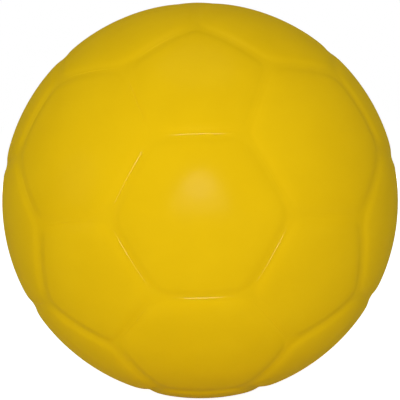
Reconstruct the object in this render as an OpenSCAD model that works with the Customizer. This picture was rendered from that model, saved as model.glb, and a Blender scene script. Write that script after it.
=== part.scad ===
// Inflatable rubber dodgeball. A seamless moulded cover with 32 panels, 12 pentagons
// and 20 hexagons, lies over a thread winding and an airtight bladder, and a
// self-sealing needle valve passes through all three.
// The origin is the middle of the ball, +Z is up. A hexagon faces -Y with a pentagon
// above it, and the valve looks out along +Y from the middle of the opposite hexagon.

/* [Ball] */
// Diameter of the inflated ball over its panels
ball_d = 216; // [180:1:260]
// Thickness of the rubber cover under a panel
cover_t = 2.2; // [2:0.1:4]
// Thickness of the thread winding
winding_t = 0.4; // [0.3:0.1:1]
// Thickness of the bladder wall
bladder_t = 0.6; // [0.4:0.1:1.5]

/* [Channels between the panels] */
// Width of a channel
channel_w = 9.6; // [8:0.1:11]
// Depth of a channel
channel_d = 0.9; // [0.6:0.1:1]
// Width of the dimple where three channels meet
junction_w = 12.4; // [12.4:0.1:14]
// Depth of that dimple
junction_d = 1; // [1:0.1:1.3]

/* [Valve housing] */
// Diameter of the neck that reaches the surface
neck_d = 11; // [10:0.1:13]
// Depth of the housing, from the surface of the ball to its inner end
housing_l = 18; // [16:0.5:24]
// Diameter of the flange inside the bladder
flange_d = 24; // [20:0.5:34]
// Thickness of the flange
flange_t = 1.2; // [0.8:0.1:2]
// Diameter of the reinforcing patch under the flange
patch_d = 44; // [36:1:60]
// Thickness of the patch
patch_t = 0.6; // [0.4:0.1:1]
// Film of rubber cement on either face of the patch
cement_t = 0.1; // [0.05:0.01:0.2]
// How far the mouth of the valve lies below the surface of the ball
mouth_recess = 0.4; // [0.2:0.1:0.8]
// Diameter of the fine ring moulded into the cover round the valve
ring_d = 17; // [16:0.5:22]
// Width of that ring
ring_w = 1.4; // [0.8:0.1:2]
// Depth of that ring
ring_depth = 0.4; // [0.2:0.1:0.6]

/* [Valve plug] */
// Diameter of the plug's head
head_d = 7.6; // [7:0.1:8.5]
// Thickness of the head
head_t = 1.6; // [1:0.1:3]
// Diameter of the plug's shank
shank_d = 5.6; // [5:0.1:6.5]
// Diameter of the barb that holds the plug inside
barb_d = 7.4; // [6.8:0.1:8.5]
// Length of the barb
barb_l = 3.2; // [2:0.1:4]
// Diameter of the barb's blunt tip
tip_d = 3.4; // [2.6:0.1:4.4]
// Diameter of the guide for the inflating needle
needle_d = 2.2; // [2:0.1:2.4]
// Depth of the guide
needle_l = 6.5; // [5:0.5:8]
// Diameter of the funnel that leads the needle in
funnel_d = 3.6; // [3:0.1:4.4]
// Depth of the funnel
funnel_l = 0.7; // [0.4:0.1:1.2]
// Gap round the plug in its housing
plug_gap = 0.05; // [0.02:0.01:0.1]

/* [Hidden] */
$fn = 96;
// Run of a cut past the face that it opens
overrun = 1;
// How far a channel stops short of the point where three of them would meet
channel_stop = 1.2;

// Radii of the layers, and places along the valve's axis from the ball's centre
ball_r = ball_d / 2;
cover_in_r = ball_r - cover_t;
winding_in_r = cover_in_r - winding_t;
bladder_in_r = winding_in_r - bladder_t;
patch_out_r = bladder_in_r - cement_t;
patch_in_r = patch_out_r - patch_t;
flange_out_r = patch_in_r - cement_t;
flange_in_r = flange_out_r - flange_t;
mouth_y = ball_r - mouth_recess;
housing_end_y = ball_r - housing_l;
head_seat_y = mouth_y - head_t;

// The panels follow an icosahedron whose corners are cut off a third of the way along
// its edges. A seam between two hexagons is the middle third of an edge, and a seam
// round a pentagon joins the thirds of two edges that leave the same corner.
golden = (1 + sqrt(5)) / 2;
corners = [for (s = [-1, 1], t = [-1, 1], k = [0:2])
    let (p = [0, s, t * golden]) unit([p[k], p[(k + 1) % 3], p[(k + 2) % 3]])];
all = [0:len(corners) - 1];
first_face = [for (i = all, j = all, k = all)
    if (i < j && j < k && near(i, j) && near(j, k) && near(i, k)) [corners[i], corners[j], corners[k]]][0];
front = unit(first_face[0] + first_face[1] + first_face[2]);
up = unit(first_face[0] - (first_face[0] * front) * front);
side = cross(up, front);
tips = [for (c = corners) [c * side, -c * front, c * up]];
hexagon_seams = [for (i = all, j = all) if (i < j && near(i, j)) [third(i, j), third(j, i)]];
pentagon_seams = [for (i = all, j = all, k = all)
    if (j < k && near(i, j) && near(i, k) && near(j, k)) [third(i, j), third(i, k)]];
junctions = [for (i = all, j = all) if (near(i, j)) third(i, j)];

function unit(v) = v / norm(v);
// Two corners are neighbours when the angle between them is under a right angle
function near(i, j) = i != j && corners[i] * corners[j] > 0;
// Direction of the point a third of the way from one corner to the next
function third(i, j) = unit(2 * tips[i] + tips[j]);
// Radius of the round cutter that leaves a groove of this width and depth
function cutter_r(width, depth) = (width * width / 4 + depth * depth) / (2 * depth);
// The angle, in degrees, that a length spans on the surface of the ball
function degrees_of(length) = length / ball_r * 180 / PI;

module ball(r) sphere(r = r, $fn = 128);

// Turns what is built along +Z onto the valve's axis, +Y
module on_valve() rotate([-90, 0, 0]) children();

// A cylinder on the valve's axis between two distances from the ball's centre
module valve_rod(d, from_y, to_y) on_valve()
    translate([0, 0, from_y]) cylinder(h = to_y - from_y, d = d);

// A round-bottomed channel from one point of the ball to another, stopped short of both
module channel(seam) {
    u = seam[0];
    w = unit(cross(seam[0], seam[1]));
    v = cross(w, u);
    stop = degrees_of(channel_stop);
    cut_r = cutter_r(channel_w, channel_d);
    multmatrix([[u.x, v.x, w.x, 0], [u.y, v.y, w.y, 0], [u.z, v.z, w.z, 0], [0, 0, 0, 1]])
        rotate([0, 0, stop])
            rotate_extrude(angle = acos(seam[0] * seam[1]) - 2 * stop, $fn = 180)
                translate([ball_r - channel_d + cut_r, 0])
                    circle(r = cut_r, $fn = 48);
}

// The soft dimple where three channels run together
module junction(p) {
    cut_r = cutter_r(junction_w, junction_d);
    translate(p * (ball_r - junction_d + cut_r)) sphere(r = cut_r, $fn = 48);
}

// The fine ring moulded into the cover round the valve
module valve_ring() {
    cut_r = cutter_r(ring_w, ring_depth);
    ring_y = sqrt(ball_r * ball_r - ring_d * ring_d / 4);
    on_valve() translate([0, 0, ring_y - ring_depth + cut_r])
        rotate_extrude() translate([ring_d / 2, 0]) circle(r = cut_r, $fn = 48);
}

// A closed layer between two radii, open only where the valve's neck passes through
module layer(outer_r, inner_r) difference() {
    ball(outer_r);
    ball(inner_r);
    valve_rod(neck_d, bladder_in_r - overrun, ball_r + overrun);
}

// A round cap of a layer, centred on the valve
module layer_cap(outer_r, inner_r, d) intersection() {
    difference() {
        ball(outer_r);
        ball(inner_r);
    }
    valve_rod(d, 0, ball_r);
}

module cover() color([0.91, 0.74, 0.07]) difference() {
    ball(ball_r);
    for (s = concat(hexagon_seams, pentagon_seams)) channel(s);
    for (p = junctions) junction(p);
    valve_ring();
    ball(cover_in_r);
    valve_rod(neck_d, cover_in_r - overrun, ball_r + overrun);
}

module winding() color([0.86, 0.84, 0.78]) layer(cover_in_r, winding_in_r);

module bladder() color([0.12, 0.12, 0.12]) layer(winding_in_r, bladder_in_r);

module valve_patch() color([0.2, 0.2, 0.21]) difference() {
    layer_cap(patch_out_r, patch_in_r, patch_d);
    valve_rod(neck_d, patch_in_r - overrun, ball_r);
}

module valve_housing() color([0.1, 0.1, 0.1]) difference() {
    union() {
        layer_cap(flange_out_r, flange_in_r, flange_d);
        valve_rod(neck_d, housing_end_y, mouth_y);
    }
    valve_rod(shank_d + 2 * plug_gap, housing_end_y - overrun, mouth_y);
    valve_rod(head_d + 2 * plug_gap, head_seat_y - plug_gap, mouth_y + overrun);
}

module valve_plug() color([0.16, 0.16, 0.16]) difference() {
    union() {
        valve_rod(head_d, head_seat_y, mouth_y);
        valve_rod(shank_d, housing_end_y - plug_gap, head_seat_y);
        on_valve() translate([0, 0, housing_end_y - plug_gap - barb_l])
            cylinder(h = barb_l, d1 = tip_d, d2 = barb_d);
    }
    valve_rod(needle_d, mouth_y - needle_l, mouth_y + overrun);
    on_valve() translate([0, 0, mouth_y - funnel_l])
        cylinder(h = funnel_l, d1 = needle_d, d2 = funnel_d);
}

cover();
winding();
bladder();
valve_patch();
valve_housing();
valve_plug();
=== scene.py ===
import math

import bpy
import numpy as np
from mathutils import Matrix, Vector


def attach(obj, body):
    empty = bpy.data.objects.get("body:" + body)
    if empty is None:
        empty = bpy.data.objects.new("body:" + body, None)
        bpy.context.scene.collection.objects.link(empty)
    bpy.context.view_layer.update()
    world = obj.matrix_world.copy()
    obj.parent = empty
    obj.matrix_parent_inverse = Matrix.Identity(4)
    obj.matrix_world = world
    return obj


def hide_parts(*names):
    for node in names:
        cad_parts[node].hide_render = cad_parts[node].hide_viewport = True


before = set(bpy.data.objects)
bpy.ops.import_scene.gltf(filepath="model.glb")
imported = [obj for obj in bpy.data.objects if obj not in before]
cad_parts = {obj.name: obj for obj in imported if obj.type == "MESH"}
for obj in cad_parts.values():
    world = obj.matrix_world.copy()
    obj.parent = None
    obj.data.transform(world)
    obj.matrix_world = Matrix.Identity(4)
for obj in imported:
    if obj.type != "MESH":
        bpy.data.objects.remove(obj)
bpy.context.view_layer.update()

# Bladder
# The airtight ball inside, of butyl rubber cured in a mould. It is matte black and
# dusted with talc, so that it doesn't stick while the thread is wound over it.

mm = 0.001


class Wire:
    """One output of a shader node. Python's signs add the Math nodes that follow it."""

    def __init__(self, tree, socket=None):
        self.tree = tree
        self.socket = socket

    def node(self, kind, inputs=None, output=0, **settings):
        """Adds a node with these settings, and these values or wires in its sockets."""
        made = self.tree.nodes.new(kind)
        for name, value in settings.items():
            setattr(made, name, value)
        for name, value in (inputs or {}).items():
            if isinstance(value, Wire):
                self.tree.links.new(value.socket, made.inputs[name])
            else:
                made.inputs[name].default_value = value
        return Wire(self.tree, made.outputs[output])

    def math(self, operation, *values):
        return self.node("ShaderNodeMath", dict(enumerate(values)), operation=operation)

    def __add__(self, other):
        return self.math("ADD", self, other)

    def __sub__(self, other):
        return self.math("SUBTRACT", self, other)

    def __rsub__(self, other):
        return self.math("SUBTRACT", other, self)

    def __mul__(self, other):
        return self.math("MULTIPLY", self, other)

    def __truediv__(self, other):
        return self.math("DIVIDE", self, other)

    __radd__ = __add__
    __rmul__ = __mul__

    def step(self, low, high):
        """Rises softly from 0 at one value to 1 at the other."""
        return self.node("ShaderNodeMapRange", {0: self, 1: low, 2: high},
                         interpolation_type="SMOOTHSTEP")

    def spread(self, first, second):
        """The number that lies this far from the first to the second."""
        return self * (second - first) + first

    def between(self, first, second):
        """The colour that lies this far from the first to the second."""
        return self.node("ShaderNodeMix", {0: self, 6: first, 7: second}, output=2,
                         data_type="RGBA")

    def grain(self, size, detail=2.0):
        """Noise from 0 to 1 at this place, with lumps of about this size."""
        return self.node("ShaderNodeTexNoise",
                         {"Vector": self, "Scale": 1 / size, "Detail": detail})

    def bump(self, height):
        """The normal of a surface raised by a height in metres."""
        return self.node("ShaderNodeBump", {"Height": height, "Distance": 1.0})


def new_finish(name, **constants):
    """A material with constants on its shader, its Object coordinates, and its shader."""
    material = bpy.data.materials.new(name)
    material.use_nodes = True
    tree = material.node_tree
    shader = tree.nodes["Principled BSDF"]
    for socket, value in constants.items():
        shader.inputs[socket.replace("_", " ")].default_value = value
    place = Wire(tree).node("ShaderNodeTexCoord", output="Object")
    return material, place, shader


def feed(shader, **wires):
    """Links each wire to the shader's socket of that name."""
    for name, wire in wires.items():
        wire.tree.links.new(wire.socket, shader.inputs[name.replace("_", " ")])


def dress(piece, material):
    """Gives a piece this one material."""
    piece.data.materials.clear()
    piece.data.materials.append(material)


BUTYL = (0.012, 0.012, 0.013, 1)
TALC = (0.11, 0.11, 0.11, 1)
TALC_COVER = 0.35
TALC_PATCH = 22 * mm
BUTYL_PORE = 0.7 * mm
BUTYL_PORE_DEPTH = 0.02 * mm

butyl, place, shader = new_finish("butyl_rubber")
dust = place.grain(TALC_PATCH, 4.0).step(0.45, 0.75)
pores = place.grain(BUTYL_PORE)
feed(shader,
     Base_Color=(dust * TALC_COVER).between(BUTYL, TALC),
     Roughness=dust.spread(0.55, 0.85),
     Normal=place.bump(pores * BUTYL_PORE_DEPTH))
dress(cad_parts["bladder"], butyl)

# Valve patch
# A disc of black sheet rubber, cemented inside the bladder round the valve's neck, so
# that the neck can't tear out. Sheet rubber keeps the faint weave of its liner.

SHEET = (0.03, 0.03, 0.033, 1)
SHEET_WORN = (0.06, 0.06, 0.062, 1)
LINER_PITCH = 0.8 * mm
LINER_DEPTH = 0.015 * mm
SMEAR = 9 * mm
# The pitch, in metres, of a wave texture whose scale is 1
WAVE_PITCH = math.pi / 10


def bands(place, pitch, distortion, detail=2.0, way="X"):
    """Wavy parallel bands, from 0 to 1 and back within each pitch."""
    return place.node("ShaderNodeTexWave",
                      {"Vector": place, "Scale": WAVE_PITCH / pitch,
                       "Distortion": distortion, "Detail": detail},
                      bands_direction=way, output="Fac")


sheet_rubber, place, shader = new_finish("sheet_rubber")
weave = bands(place, LINER_PITCH, 0.4) + bands(place, LINER_PITCH, 0.4, way="Z")
smear = place.grain(SMEAR, 3.0)
feed(shader,
     Base_Color=smear.between(SHEET, SHEET_WORN),
     Roughness=smear.spread(0.5, 0.75),
     Normal=place.bump(weave * LINER_DEPTH))
dress(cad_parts["valve_patch"], sheet_rubber)

# Valve housing
# A soft black rubber neck with a flange, moulded in one piece. The flange is cured to
# the patch inside the bladder, and the neck comes out through all the layers.

BALL_R = 108 * mm
NECK_R = 5.5 * mm
MOUTH_RECESS = 0.4 * mm
HOUSING_L = 18 * mm
FLANGE_R = 12 * mm
FLANGE_T = 1.2 * mm
# All that lies over the flange: the patch with its cement, and the three layers
FLANGE_BELOW = 4 * mm
FLANGE_RING_SHARES = [0, 0.35, 0.7, 1]
# The plug's head and shank, round which the housing leaves a gap
HEAD_R = 3.8 * mm
HEAD_T = 1.6 * mm
SHANK_R = 2.8 * mm
PLUG_GAP = 0.05 * mm
HOUSING_ROUNDING = 0.25 * mm
ROUNDING_STEPS = 3
AROUND = 96
SHARP = math.radians(30)
SMOOTH_BELOW = math.radians(35)
WELD = 0.001 * mm

mouth_y = BALL_R - MOUTH_RECESS
housing_end_y = BALL_R - HOUSING_L
head_seat_y = mouth_y - HEAD_T
flange_out_r = BALL_R - FLANGE_BELOW
flange_in_r = flange_out_r - FLANGE_T


def place_on(radius, sphere_r):
    """Where a sphere round the ball's centre lies at this distance from the valve's axis."""
    return math.sqrt(sphere_r ** 2 - radius ** 2)


def edit(piece):
    """Opens one piece in edit mode with nothing selected."""
    if bpy.context.mode != "OBJECT":
        bpy.ops.object.mode_set(mode="OBJECT")
    bpy.ops.object.select_all(action="DESELECT")
    bpy.context.view_layer.objects.active = piece
    piece.select_set(True)
    bpy.ops.object.mode_set(mode="EDIT")
    bpy.ops.mesh.select_all(action="DESELECT")


def apply(piece, kind, **settings):
    """Adds a modifier to the piece and applies it."""
    if bpy.context.mode != "OBJECT":
        bpy.ops.object.mode_set(mode="OBJECT")
    modifier = piece.modifiers.new(kind.lower(), kind)
    for name, value in settings.items():
        setattr(modifier, name, value)
    bpy.context.view_layer.objects.active = piece
    bpy.ops.object.modifier_apply(modifier=modifier.name)


def turned(name, outline, rounding):
    """A piece round the valve's axis: a ring drawn out through each radius and place."""
    bpy.ops.object.select_all(action="DESELECT")
    radius, y = outline[0]
    bpy.ops.mesh.primitive_circle_add(vertices=AROUND, radius=radius, location=(0, y, 0),
                                      rotation=(math.pi / 2, 0, 0))
    piece = bpy.context.object
    piece.name = piece.data.name = name
    bpy.ops.object.transform_apply(location=True, rotation=True, scale=True)
    bpy.ops.object.mode_set(mode="EDIT")
    bpy.ops.mesh.select_all(action="SELECT")
    for next_radius, next_y in outline[1:]:
        bpy.ops.mesh.extrude_region_move(
            TRANSFORM_OT_translate={"value": (0, next_y - y, 0)})
        grow = next_radius / radius
        bpy.ops.transform.resize(value=(grow, 1, grow), center_override=(0, next_y, 0))
        radius, y = next_radius, next_y
    bpy.ops.mesh.select_all(action="SELECT")
    bpy.ops.mesh.remove_doubles(threshold=WELD)
    bpy.ops.mesh.fill_holes(sides=0)
    bpy.ops.mesh.select_all(action="SELECT")
    bpy.ops.mesh.normals_make_consistent(inside=False)
    apply(piece, "BEVEL", width=rounding, segments=ROUNDING_STEPS, limit_method="ANGLE",
          angle_limit=SHARP)
    bpy.ops.object.shade_smooth_by_angle(angle=SMOOTH_BELOW)
    return piece


flange_radii = [NECK_R + share * (FLANGE_R - NECK_R) for share in FLANGE_RING_SHARES]
housing = turned("valve_neck", [
    (NECK_R, mouth_y),
    *[(radius, place_on(radius, flange_out_r)) for radius in flange_radii],
    *[(radius, place_on(radius, flange_in_r)) for radius in reversed(flange_radii)],
    (NECK_R, housing_end_y),
    (SHANK_R + PLUG_GAP, housing_end_y), (SHANK_R + PLUG_GAP, head_seat_y - PLUG_GAP),
    (HEAD_R + PLUG_GAP, head_seat_y - PLUG_GAP), (HEAD_R + PLUG_GAP, mouth_y),
    (NECK_R, mouth_y)], HOUSING_ROUNDING)

NECK_BLACK = (0.014, 0.014, 0.014, 1)
NECK_BLOOM = (0.035, 0.034, 0.032, 1)
BLOOM = 2.4 * mm
NECK_PORE = 0.25 * mm
NECK_PORE_DEPTH = 0.006 * mm

neck_rubber, place, shader = new_finish("neck_rubber", Specular_IOR_Level=0.3)
bloom = place.grain(BLOOM, 4.0)
pores = place.grain(NECK_PORE)
feed(shader,
     Base_Color=bloom.between(NECK_BLACK, NECK_BLOOM),
     Roughness=bloom.spread(0.38, 0.58),
     Normal=place.bump(pores * NECK_PORE_DEPTH))
dress(housing, neck_rubber)
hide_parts("valve_housing")
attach(housing, "root")

# Winding
# Kilometres of nylon thread wound over the inflated bladder in all directions and
# pulled through rubber cement, which dries to a faint amber and keeps the ball round.

THREAD = (0.70, 0.67, 0.58, 1)
CEMENT = (0.42, 0.33, 0.19, 1)
THREAD_PITCH = 0.6 * mm
THREAD_HEIGHT = 0.08 * mm
WAYS = [(0.0, 0.0, 0.0), (0.9, 0.3, 0.2), (0.4, 1.1, 0.7), (1.3, 0.6, 1.2)]

thread_and_cement, place, shader = new_finish("thread_and_cement")
strands = None
for turn in WAYS:
    turned_place = place.node("ShaderNodeMapping", {"Vector": place, "Rotation": turn})
    layer = bands(turned_place, THREAD_PITCH, 1.5, detail=1.0)
    strands = layer if strands is None else strands.math("MAXIMUM", strands, layer)
feed(shader,
     Base_Color=strands.step(0.3, 0.9).between(CEMENT, THREAD),
     Roughness=strands.spread(0.75, 0.5),
     Normal=place.bump(strands * THREAD_HEIGHT))
dress(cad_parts["winding"], thread_and_cement)

# Cover
# The one skin that shows: yellow rubber laid over the winding and cured in a round
# mould, whose ribs press soft channels into it along the sides of 12 pentagons and 20
# hexagons. The panels come out satin, the channels smoother and glossier.

WALL = 2.2 * mm
# A channel's depth at the height of the ball's middle, by what share it is shallower at
# the top and deeper at the bottom, half its width where it is half as deep, and how
# steeply its sides fall
CHANNEL_DEPTH = 0.92 * mm
DEPTH_FALL = 0.32
CHANNEL_HALF = 3.7 * mm
CHANNEL_POWER = 3
CORNER_SOFTNESS = 1.4 * mm
# The sharp line along a channel, how far from a corner it starts, how long it takes to
# reach its depth, and the share of that depth left where it is worn
LINE_DEPTH = 0.144 * mm
LINE_HALF = 0.2 * mm
LINE_STEPS = 4
LINE_STOP = 4 * mm
LINE_RUN_OUT = 12 * mm
LINE_LEFT = 0.3
# The worn side of the ball, and how far round towards it the wear starts and is full
WORN_TURN = math.radians(30)
WORN_SIDE = (math.cos(WORN_TURN), 0, math.sin(WORN_TURN))
WORN_FROM = 0.28
WORN_FULLY = 0.33
RING_R = 8.5 * mm
RING_HALF = 0.5 * mm
RING_DEPTH = 0.4 * mm
LIP = 0.35 * mm
LIP_STEPS = 4
# Where the rim of the opening, and what lies near the valve, is looked for
LIP_SLACK = 0.1 * mm
LIP_REACH = 0.5 * mm
NEAR_VALVE_Y = 0.9 * BALL_R
VALVE_FACING = 0.99
# How finely the mesh is laid out, and the depths that it sinks by are stepped
DEPTH_LEVELS = 2000
SEAM_SLACK = 0.0004
SEAM_CUTS = 7
MOST_SPOKES = 8
INNER_RINGS = 60
CHANNEL_RINGS = [1.1 * mm] * 4 + [1.2 * mm, 1.6 * mm]
PANEL_RING_SHARES = [0.81, 0.78, 0.75, 0.82]
VALVE_RINGS = [size * mm for size in (11, 9.8, 9.2, 8.8, 8.5, 8.2, 7.8, 7.2, 6.5)] + [NECK_R]

golden = (1 + math.sqrt(5)) / 2
hexagon_points = 6 * (SEAM_CUTS + 1)


def unit(vector):
    return vector / np.linalg.norm(vector)


def points_of(piece):
    """The piece's points, and the direction of each from the ball's centre."""
    points = np.array([point.co for point in piece.data.vertices])
    return points, points / np.linalg.norm(points, axis=1, keepdims=True)


def pick(piece, kind, wanted):
    """Selects the points, edges or faces that pass a test, and no others."""
    edit(piece)
    bpy.ops.mesh.select_mode(type=kind)
    bpy.ops.object.mode_set(mode="OBJECT")
    mesh = piece.data
    for item in {"VERT": mesh.vertices, "EDGE": mesh.edges, "FACE": mesh.polygons}[kind]:
        item.select = bool(wanted(item))
    bpy.ops.object.mode_set(mode="EDIT")


def picked_face(piece):
    return next(face for face in piece.data.polygons if face.select)


def is_middle(face):
    """Whether this is the face in the middle of a panel, the only kind with over 4 sides."""
    return len(face.vertices) > 4


# An icosahedron stands with one face towards -Y and a corner of it above, and with its
# corners cut off a third of the way along its edges it has all 32 panels. The middles of
# its seams lie at the ball's radius.
bpy.ops.object.select_all(action="DESELECT")
bpy.ops.mesh.primitive_ico_sphere_add(
    subdivisions=1, radius=BALL_R / math.cos(math.atan(2) / 2))
cover = bpy.context.object
cover.name = cover.data.name = "cover_skin"
bpy.ops.object.mode_set(mode="EDIT")
bpy.ops.mesh.select_all(action="SELECT")
for angle, axis in ((math.radians(18), "Z"), (math.atan(golden ** 2 / 2), "X")):
    bpy.ops.transform.rotate(value=-angle, orient_axis=axis, center_override=(0, 0, 0))
bpy.ops.mesh.bevel(offset_type="PERCENT", offset_pct=100 / 3, affect="VERTICES")
bpy.ops.object.mode_set(mode="OBJECT")
corners = [point.co.normalized() for point in cover.data.vertices]
seams = np.array([[corners[end] for end in edge.vertices] for edge in cover.data.edges])

# Each panel is drawn in from its seams, in close rings across the channel and then in
# wide ones: the panel is made a fan round its middle, and the fan's tip is cut off. More
# edges meet at the tip than the few that meet at any other point.
bpy.ops.object.mode_set(mode="EDIT")
bpy.ops.mesh.select_all(action="SELECT")
bpy.ops.mesh.subdivide(number_cuts=SEAM_CUTS)
for width in CHANNEL_RINGS:
    bpy.ops.mesh.inset(thickness=width, use_individual=True)
for share in PANEL_RING_SHARES:
    pick(cover, "FACE", is_middle)
    bpy.ops.mesh.poke()
    bpy.ops.object.mode_set(mode="OBJECT")
    spokes = np.bincount([end for edge in cover.data.edges for end in edge.vertices])
    pick(cover, "VERT", lambda point: spokes[point.index] > MOST_SPOKES)
    bpy.ops.mesh.bevel(offset_type="PERCENT", offset_pct=100 * share, affect="VERTICES")

# The valve's panel goes over into rings round the valve, and is open inside the last.
pick(cover, "FACE", lambda face: is_middle(face) and face.normal.y > VALVE_FACING)
bpy.ops.object.mode_set(mode="OBJECT")
panel_y = picked_face(cover).center.y
bpy.ops.object.mode_set(mode="EDIT")
bpy.ops.mesh.extrude_region_move()
bpy.ops.transform.tosphere(value=1.0, center_override=(0, panel_y, 0))
bpy.ops.object.mode_set(mode="OBJECT")
rim = cover.data.vertices[picked_face(cover).vertices[0]].co
ring_now = math.hypot(rim.x, rim.z)
bpy.ops.object.mode_set(mode="EDIT")
for number, size in enumerate(VALVE_RINGS):
    if number:
        bpy.ops.mesh.extrude_region_move()
    ring_next = panel_y * math.tan(math.asin(size / BALL_R))
    shrink = ring_next / ring_now
    bpy.ops.transform.resize(value=(shrink, 1, shrink), center_override=(0, panel_y, 0))
    ring_now = ring_next
bpy.ops.mesh.delete(type="FACE")
pick(cover, "FACE", is_middle)
bpy.ops.mesh.poke()

# One subdivision evens the rings out, and then all of it is cast onto the ball.
apply(cover, "SUBSURF", levels=1, render_levels=1)
apply(cover, "CAST", cast_type="SPHERE", factor=1.0, size=BALL_R, use_radius_as_size=False)

# The sharp line that the mould's rib leaves along the bottom of each channel gets its own
# narrow strip of faces.
points, toward = points_of(cover)
on_seam = np.zeros(len(points), bool)
for start, end in seams:
    half_way = unit(start + end)
    in_plane = np.abs(toward @ unit(np.cross(start, end))) < SEAM_SLACK
    on_seam |= in_plane & (toward @ half_way > start @ half_way - SEAM_SLACK)
pick(cover, "EDGE", lambda edge: on_seam[edge.vertices[0]] and on_seam[edge.vertices[1]])
bpy.ops.mesh.bevel(offset=LINE_HALF, segments=LINE_STEPS, affect="EDGES")
bpy.ops.object.mode_set(mode="OBJECT")

# Each point sinks by how near it lies to a seam, seams that meet sharing their depth so
# that the panels' corners come out round, and by the fine ring round the valve. The
# channels are deeper towards the bottom of the ball. The sharp line along them runs out
# towards the corners, and is mostly rubbed away on one side of the ball.
points, toward = points_of(cover)
nearness = np.zeros(len(points))
lined = np.zeros(len(points))
for start, end in seams:
    across = unit(np.cross(start, end))
    off = np.abs(np.arcsin(toward @ across))
    beside = (np.cross(across, start) @ toward.T > 0) & (np.cross(end, across) @ toward.T > 0)
    to_ends = np.arccos(np.clip(np.maximum(toward @ start, toward @ end), -1, 1))
    away = np.where(beside, off, to_ends) * BALL_R
    full = np.clip((to_ends * BALL_R - LINE_STOP) / LINE_RUN_OUT, 0, 1)
    lined = np.maximum(lined, full * np.clip(1 - away / LINE_HALF, 0, 1))
    nearness += np.exp(-away / CORNER_SOFTNESS)
away = np.maximum(-CORNER_SOFTNESS * np.log(nearness), 0)
sunk = CHANNEL_DEPTH * (1 - DEPTH_FALL * toward[:, 2])
sunk /= 1 + (away / CHANNEL_HALF) ** CHANNEL_POWER
rubbed = np.clip((toward @ WORN_SIDE - WORN_FROM) / (WORN_FULLY - WORN_FROM), 0, 1)
sunk += LINE_DEPTH * lined * (1 - (1 - LINE_LEFT) * rubbed)
off_ring = (np.hypot(points[:, 0], points[:, 2]) - RING_R) / RING_HALF
sunk += np.where(points[:, 1] > NEAR_VALVE_Y, RING_DEPTH * np.exp(-off_ring ** 2), 0)
deepest = sunk.max()
levels = np.rint(sunk / deepest * DEPTH_LEVELS).astype(int)
sinking = cover.vertex_groups.new(name="sinking")
for level in np.unique(levels[levels > 0]):
    sinking.add(np.flatnonzero(levels == level).tolist(), level / DEPTH_LEVELS, "REPLACE")
apply(cover, "DISPLACE", vertex_group="sinking", mid_level=0.0, strength=-deepest,
      direction="NORMAL")

# The inner face is a plain ball, open over the valve too, and the two are bridged there.
bpy.ops.object.select_all(action="DESELECT")
bpy.ops.mesh.primitive_uv_sphere_add(
    segments=2 * hexagon_points, ring_count=INNER_RINGS, radius=BALL_R - WALL,
    rotation=(-math.pi / 2, 0, 0))
bpy.ops.object.transform_apply(location=True, rotation=True, scale=True)
cover.select_set(True)
bpy.context.view_layer.objects.active = cover
bpy.ops.object.join()
pick(cover, "FACE", lambda face: len(face.vertices) == 3 and face.center.y > NEAR_VALVE_Y)
bpy.ops.mesh.delete(type="FACE")
bpy.ops.mesh.select_mode(type="EDGE")
bpy.ops.mesh.select_non_manifold()
bpy.ops.mesh.bridge_edge_loops()
bpy.ops.mesh.select_all(action="SELECT")
bpy.ops.mesh.normals_make_consistent(inside=False)


def on_rim(edge):
    """Whether an edge of the cover lies where the opening meets the surface."""
    ends = [cover.data.vertices[end].co for end in edge.vertices]
    return all(math.hypot(end.x, end.z) < NECK_R + LIP_SLACK
               and end.length > BALL_R - LIP_REACH and end.y > 0 for end in ends)


# The rim of the opening is rounded, as rubber that has flowed round a pin.
pick(cover, "EDGE", on_rim)
bpy.ops.mesh.bevel(offset=LIP, segments=LIP_STEPS, affect="EDGES")
bpy.ops.object.mode_set(mode="OBJECT")
bpy.ops.object.shade_smooth()

YELLOW = (0.84, 0.535, 0.004, 1)
YELLOW_DEEP = (0.815, 0.515, 0.0035, 1)
EDGE_TINT = (0.8, 1.0, 0.2, 1)
CLOUD = 30 * mm
FLOW = 6 * mm
FLOW_DEPTH = 0.008 * mm
PEBBLE = 0.5 * mm
PEBBLE_DEPTH = 0.008 * mm
BEAD = 2.5 * mm
CHANNEL_SMOOTHER = 0.04
SATIN_COAT = 0.016
LINE_COAT = 0.03
CRISP_COATS = (0.18, 0.38)
CRISP_FROM = 0.909
CRISP_FULLY = 0.924

cover_rubber, place, shader = new_finish(
    "cover_rubber", Specular_IOR_Level=0.0, Coat_Roughness=0.17, Coat_IOR=2.0,
    Sheen_Weight=0.06, Sheen_Roughness=0.35, Sheen_Tint=EDGE_TINT)
height = place.node("ShaderNodeVectorMath", {0: place}, output="Value", operation="LENGTH")
x, y, z = [place.node("ShaderNodeSeparateXYZ", {"Vector": place}, output=way) * (1 / BALL_R)
           for way in "XYZ"]
sunk_by = BALL_R - height
channel_bottom = (1 - z * DEPTH_FALL) * CHANNEL_DEPTH
in_channel = (sunk_by / channel_bottom).step(0.1, 0.9)
in_line = ((sunk_by - channel_bottom) / LINE_DEPTH).step(0.05, 0.5)
crisp = (0 - y).step(CRISP_FROM, CRISP_FULLY)
worn = (x * WORN_SIDE[0] + z * WORN_SIDE[2]).step(WORN_FROM, WORN_FULLY)
clouds = place.grain(CLOUD, 3.0).step(0.3, 0.7)
flow = place.grain(FLOW, 3.0)
pebbles = place.grain(PEBBLE)
beads = place.grain(BEAD).step(0.35, 0.65)
line_shine = crisp * (1 - worn) * beads.spread(*CRISP_COATS) + LINE_COAT
feed(shader,
     Base_Color=clouds.between(YELLOW, YELLOW_DEEP),
     Roughness=flow.spread(0.36, 0.4) - in_channel * CHANNEL_SMOOTHER,
     Coat_Weight=in_line * line_shine + SATIN_COAT,
     Normal=place.bump(pebbles * (1 - in_channel) * PEBBLE_DEPTH + flow * FLOW_DEPTH))
dress(cover, cover_rubber)
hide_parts("cover")
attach(cover, "root")

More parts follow.
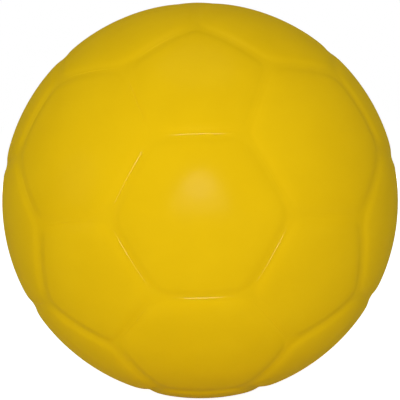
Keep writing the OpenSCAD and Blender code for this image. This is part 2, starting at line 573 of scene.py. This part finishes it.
# Valve plug
# A soft black rubber plug, pushed into the housing and held by its barb. Its funnel and
# guide lead the inflating needle in, and beyond the guide it seals by itself.

BARB_R = 3.7 * mm
BARB_L = 3.2 * mm
TIP_R = 1.7 * mm
GUIDE_R = 1.1 * mm
GUIDE_L = 6.5 * mm
FUNNEL_R = 1.8 * mm
FUNNEL_L = 0.7 * mm
POLE_R = 0.2 * mm
PLUG_ROUNDING = 0.2 * mm

guide_end_y = mouth_y - GUIDE_L
barb_y = housing_end_y - PLUG_GAP
tip_y = barb_y - BARB_L

plug = turned("valve_core", [
    (POLE_R, guide_end_y), (GUIDE_R, guide_end_y), (GUIDE_R, mouth_y - FUNNEL_L),
    (FUNNEL_R, mouth_y), (HEAD_R, mouth_y), (HEAD_R, head_seat_y),
    (SHANK_R, head_seat_y), (SHANK_R, barb_y), (BARB_R, barb_y),
    (TIP_R, tip_y), (POLE_R, tip_y)], PLUG_ROUNDING)

PLUG_BLACK = (0.022, 0.022, 0.022, 1)
PLUG_GREY = (0.05, 0.05, 0.048, 1)
HAZE = 1.6 * mm
PLUG_PORE = 0.2 * mm
PLUG_PORE_DEPTH = 0.006 * mm

plug_rubber, place, shader = new_finish("plug_rubber", Specular_IOR_Level=0.3)
haze = place.grain(HAZE, 4.0)
pores = place.grain(PLUG_PORE)
feed(shader,
     Base_Color=haze.between(PLUG_BLACK, PLUG_GREY),
     Roughness=haze.spread(0.45, 0.65),
     Normal=place.bump(pores * PLUG_PORE_DEPTH))
dress(plug, plug_rubber)
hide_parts("valve_plug")
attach(plug, "root")

# Floor and surroundings
# A plain white studio: the ball lies on a pale floor without a visible horizon. The
# camera and mirror-like rays see white, and the floor keeps the ball's soft shadow.

FLOOR_SIZE = 40.0
FLOOR_PALE = (0.75, 0.75, 0.75, 1)
FLOOR_LIFT = 0.86
ROOM_LIGHT = 0.19
WHITE = (1, 1, 1, 1)


def seen(start):
    """1 for rays from the camera, off a mirror or through glass, and 0 for all others."""
    camera_ray, glossy_ray, glass_ray = [
        start.node("ShaderNodeLightPath", output=name)
        for name in ("Is Camera Ray", "Is Glossy Ray", "Is Transmission Ray")]
    either = start.math("MAXIMUM", camera_ray, glossy_ray)
    return start.math("MAXIMUM", either, glass_ray)


bpy.ops.object.select_all(action="DESELECT")
bpy.ops.mesh.primitive_plane_add(size=FLOOR_SIZE, location=(0, 0, -BALL_R))
floor = bpy.context.object
floor.name = floor.data.name = "floor"
bpy.ops.object.transform_apply(location=True, rotation=True, scale=True)
floor_paint, place, shader = new_finish("floor_paint", Base_Color=FLOOR_PALE,
                                        Roughness=0.9, Specular_IOR_Level=0.0)
glow = place.node("ShaderNodeEmission",
                  {"Color": WHITE, "Strength": seen(place) * FLOOR_LIFT})
both = place.node("ShaderNodeAddShader", {0: Wire(place.tree, shader.outputs[0]), 1: glow})
surface = place.tree.nodes["Material Output"].inputs["Surface"]
place.tree.links.new(both.socket, surface)
dress(floor, floor_paint)

world = bpy.data.worlds.new("studio")
bpy.context.scene.world = world
world.use_nodes = True
backdrop = world.node_tree.nodes["Background"]
backdrop.inputs["Color"].default_value = WHITE
strength = seen(Wire(world.node_tree)).spread(ROOM_LIGHT, 1)
world.node_tree.links.new(strength.socket, backdrop.inputs["Strength"])

# Camera and lamps
# The camera stands where the photograph was taken from, and the main light is a round
# softbox behind it. A wide lamp fills from the front, weak ones from the ceiling and a
# window on the left, and one behind the ball lights the valve's side for other views.

CAMERA_SIDE = math.radians(0.042)
CAMERA_HEIGHT = math.radians(4.297)
CAMERA_ROLL = math.radians(1.286)
CAMERA_AWAY = 613.1 * mm
NEAREST = 10 * mm
# Half of the picture's width, seen at a distance of 1 from the camera
FRAME_HALF = 0.18073
SENSOR = 36.0
PICTURE_PIXELS = 400
SHIFT_RIGHT_PIXELS = -0.04
SHIFT_UP_PIXELS = 0.31
LAMP_AWAY = 2.4
MAIN_HEIGHT = math.radians(12.2)
MAIN_SPOT = Vector((0, -math.cos(MAIN_HEIGHT), math.sin(MAIN_HEIGHT))) * LAMP_AWAY
# Each lamp's name, spot, diameter and power in watts
LAMPS = [
    ("main_light", MAIN_SPOT, 0.7, 17.3),
    ("front_light", Vector((0, -LAMP_AWAY, 0.1)), 1.3, 27.0),
    ("ceiling_light", Vector((0, -0.3, 2.6)), 1.6, 8.0),
    ("window_light", Vector((-LAMP_AWAY, -0.8, 0.5)), 1.2, 4.4),
    ("back_light", Vector((0, LAMP_AWAY, 0.1)), 0.6, 38.0)]
# Leans off the vertical, along which the ceiling lamp looks
LAMP_UP = Vector((0, 0.1, 1))


def aim(thing, spot, up):
    """Puts a camera or lamp at a spot, looking at the ball's middle."""
    back = spot.normalized()
    right = up.cross(back).normalized()
    upright = back.cross(right)
    turn = Matrix((right, upright, back)).transposed().to_4x4()
    thing.matrix_world = Matrix.Translation(spot) @ turn


to_camera = Vector((math.sin(CAMERA_SIDE) * math.cos(CAMERA_HEIGHT),
                    -math.cos(CAMERA_SIDE) * math.cos(CAMERA_HEIGHT),
                    math.sin(CAMERA_HEIGHT)))
sideways = Vector((0, 0, 1)).cross(to_camera).normalized()
upward = to_camera.cross(sideways)
camera_up = upward * math.cos(CAMERA_ROLL) + sideways * math.sin(CAMERA_ROLL)
lens = bpy.data.cameras.new("camera")
lens.sensor_width = SENSOR
lens.lens = SENSOR / (2 * FRAME_HALF)
lens.shift_x = SHIFT_RIGHT_PIXELS / PICTURE_PIXELS
lens.shift_y = SHIFT_UP_PIXELS / PICTURE_PIXELS
lens.clip_start = NEAREST
camera = bpy.data.objects.new("camera", lens)
bpy.context.scene.collection.objects.link(camera)
aim(camera, to_camera * CAMERA_AWAY, camera_up)
bpy.context.scene.camera = camera

for name, spot, diameter, power in LAMPS:
    light = bpy.data.lights.new(name, "AREA")
    light.shape = "DISK"
    light.size = diameter
    light.energy = power
    lamp = bpy.data.objects.new(name, light)
    bpy.context.scene.collection.objects.link(lamp)
    aim(lamp, spot, LAMP_UP)

bpy.context.scene.view_settings.view_transform = "Standard"
